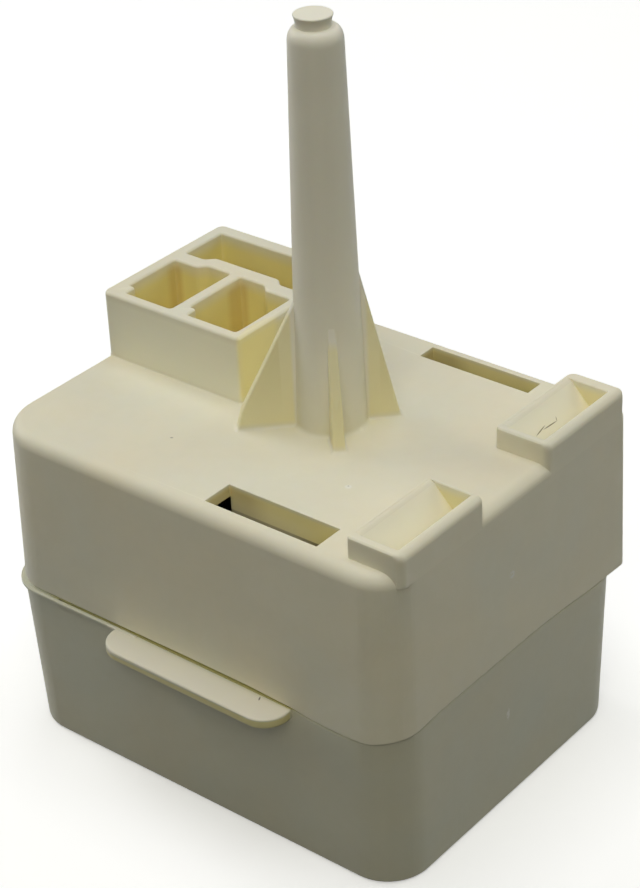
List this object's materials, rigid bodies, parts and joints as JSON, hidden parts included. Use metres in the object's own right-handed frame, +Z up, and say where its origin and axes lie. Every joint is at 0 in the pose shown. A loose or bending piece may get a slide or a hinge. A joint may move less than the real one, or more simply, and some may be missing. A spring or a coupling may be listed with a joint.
{
  "type": "compressor start relay",
  "caption": "Ivory two-part relay box with a tall ribbed post, a three-pocket tab block, roof slots and pockets, and a pull tab, over compressor pin sockets.",
  "frame": {"origin": "middle of the outer box's underside, on the flat underside", "axes": "+Z up along the post, +X along the housing towards the two ramped pockets, +Y from the pull tab towards the terminal block's side"},
  "size_m": [0.052, 0.0442, 0.0808],
  "materials": {
    "ivory_plastic": "satin",
    "socket_brass": "satin",
    "tab_brass": "satin",
    "link_brass": "satin",
    "cup_steel": "satin",
    "spring_steel": "satin",
    "bimetal": "satin",
    "heater_wire": "satin",
    "dark_resin": "matte",
    "pill_ceramic": "matte"
  },
  "bodies": {
    "root": {"base": "ivory_plastic", "bimetal_disc": "bimetal", "cover": "ivory_plastic", "link_capacitor": "link_brass", "link_common": "link_brass", "link_line": "link_brass", "link_run": "link_brass", "link_start": "link_brass", "overload_cap": "dark_resin", "overload_cup": "cup_steel", "overload_heater": "heater_wire", "overload_screw": "cup_steel", "overload_stud_in": "tab_brass", "overload_stud_out": "tab_brass", "pill_contact": "tab_brass", "pill_spring": "spring_steel", "pin_socket_common": "socket_brass", "pin_socket_run": "socket_brass", "pin_socket_start": "socket_brass", "start_pill": "pill_ceramic", "terminal_capacitor": "tab_brass", "terminal_line": "tab_brass", "terminal_line_spare": "tab_brass", "terminal_run": "tab_brass", "terminal_run_spare": "tab_brass", "terminal_start": "tab_brass"}
  },
  "joints": []
}
